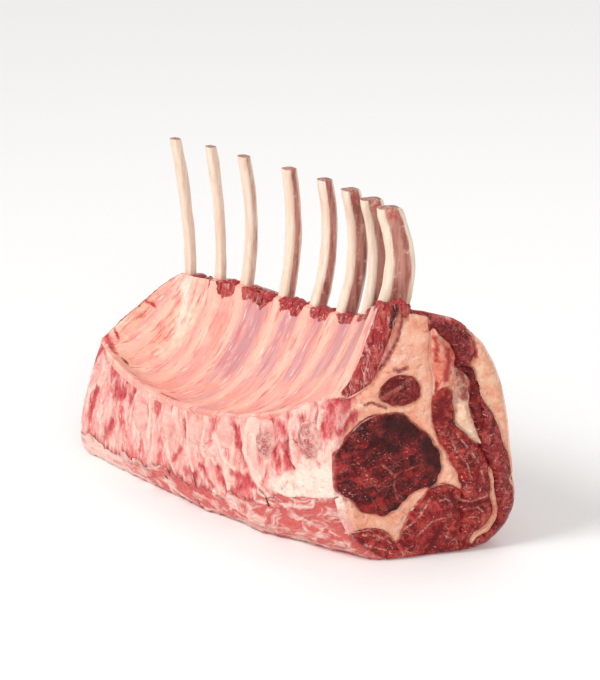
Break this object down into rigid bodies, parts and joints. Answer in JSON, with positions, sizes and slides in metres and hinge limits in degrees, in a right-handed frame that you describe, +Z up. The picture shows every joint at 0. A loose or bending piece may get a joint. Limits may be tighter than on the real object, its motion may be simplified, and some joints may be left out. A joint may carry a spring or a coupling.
{
  "type": "rack of lamb",
  "caption": "Raw frenched rack of lamb standing on its back, cleaned rib bones rising from a block of loin whose cut end shows the eye, cap muscles and fat.",
  "frame": {"origin": "under the middle of the bounding box, on the table", "axes": "+X along the rack towards the shoulder cut, -Y the sawn backbone, +Y the outer fat, +Z up along the rib bones"},
  "size_m": [0.2118, 0.0966, 0.151],
  "materials": {
    "lining": "moist thin membrane over rib meat",
    "dark_muscle": "moist raw loin meat",
    "muscle": "moist raw meat",
    "fat": "soft satin lamb fat",
    "sawn_bone": "matt sawn bone with marrow",
    "rib_bone": "scraped satin bone"
  },
  "bodies": {
    "root": {"rib_wall": "lining", "loin_eye": "dark_muscle", "side_muscle": "dark_muscle", "cap_muscle": "muscle", "cap_leaf": "muscle", "lower_muscle": "muscle", "top_muscle": "muscle", "outer_muscle": "muscle", "fat_body": "fat", "fat_flap": "fat", "fat_finger": "fat", "seam_fat": "fat", "outer_fat": "fat", "chine_bone_1": "sawn_bone", "chine_bone_2": "sawn_bone", "chine_bone_3": "sawn_bone", "chine_bone_4": "sawn_bone", "chine_bone_5": "sawn_bone", "chine_bone_6": "sawn_bone", "rib_1": "rib_bone", "rib_2": "rib_bone", "rib_3": "rib_bone", "rib_4": "rib_bone", "rib_5": "rib_bone", "rib_6": "rib_bone", "rib_7": "rib_bone", "rib_8": "rib_bone"}
  },
  "joints": []
}
